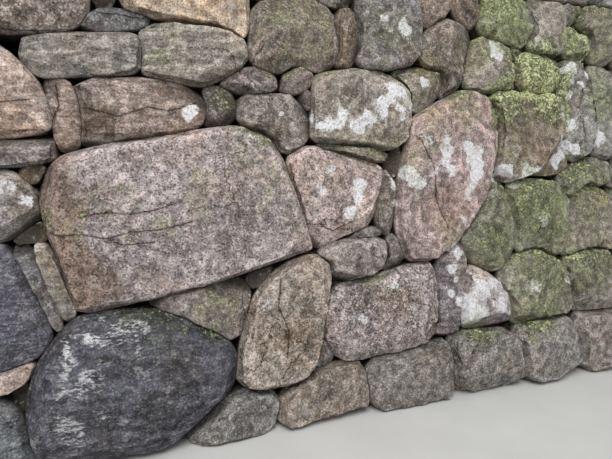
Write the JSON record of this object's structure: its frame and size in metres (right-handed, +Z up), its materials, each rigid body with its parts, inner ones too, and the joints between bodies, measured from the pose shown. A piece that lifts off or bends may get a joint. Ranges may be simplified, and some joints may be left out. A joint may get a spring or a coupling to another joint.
{
  "type": "dry stone wall",
  "caption": "Battered dry stone wall of large irregular field stones, with footing stones, small pinning stones, hearting and flat cover stones; it stands by itself on level ground.",
  "frame": {"origin": "on the ground at the middle of the base: half way along the wall, and half way between the feet of its two nominal faces", "axes": "+X along the wall to the right as the drawn face is seen, +Y through the wall to the back, +Z up"},
  "size_m": [3.6, 1.2306, 2.08],
  "materials": {
    "small_stone_fill": "rough",
    "great_granite": "rough",
    "dark_boulder": "rough",
    "red_stone": "rough",
    "grey_granite": "rough",
    "tan_granite": "rough",
    "pink_granite": "rough",
    "brown_stone": "rough",
    "tan_stone": "rough",
    "banded_stone": "rough",
    "slim_stone": "rough",
    "slab_stone": "rough",
    "dark_stone": "rough",
    "orange_stone": "rough",
    "pale_stone": "rough",
    "lichen_stone": "rough",
    "purple_brown_stone": "rough",
    "mossy_stone": "rough",
    "footing_stone": "rough",
    "pinning_stone": "rough",
    "cover_stone": "rough",
    "back_stone": "rough",
    "end_stone": "rough"
  },
  "bodies": {
    "root": {"hearting": "small_stone_fill", "great_stone": "great_granite", "dark_boulder": "dark_boulder", "leaning_red_stone": "red_stone", "granite_block": "grey_granite", "tan_upright": "tan_granite", "pink_stone": "pink_granite", "oval_stone": "brown_stone", "long_tan_stone": "tan_stone", "banded_stones": "banded_stone", "slim_uprights": "slim_stone", "thin_slabs": "slab_stone", "left_grey_boulder": "dark_stone", "left_tan_stone": "tan_stone", "round_pale_stone": "pale_stone", "grey_foot_stone": "dark_stone", "rounded_brown_stone": "brown_stone", "lichen_stone": "lichen_stone", "grey_block": "banded_stone", "top_granite": "pink_granite", "orange_top_stone": "orange_stone", "purple_brown_stone": "purple_brown_stone", "pale_base_stone": "pale_stone", "mossy_shelf_stone": "mossy_stone", "tall_lichen_stone": "lichen_stone", "bright_moss_stone": "mossy_stone", "mossy_stones_a": "mossy_stone", "mossy_stones_b": "mossy_stone", "mossy_stones_c": "mossy_stone", "upper_stones_a": "purple_brown_stone", "upper_stones_b": "purple_brown_stone", "upper_stones_c": "purple_brown_stone", "head_stones_a": "banded_stone", "head_stones_b": "mossy_stone", "footings_a": "footing_stone", "footings_b": "footing_stone", "pinning_stones": "pinning_stone", "cover_stones_a": "cover_stone", "cover_stones_b": "cover_stone", "back_stones_a": "back_stone", "back_stones_b": "back_stone", "back_stones_c": "back_stone", "end_stones_a": "end_stone", "end_stones_b": "end_stone"}
  },
  "joints": []
}
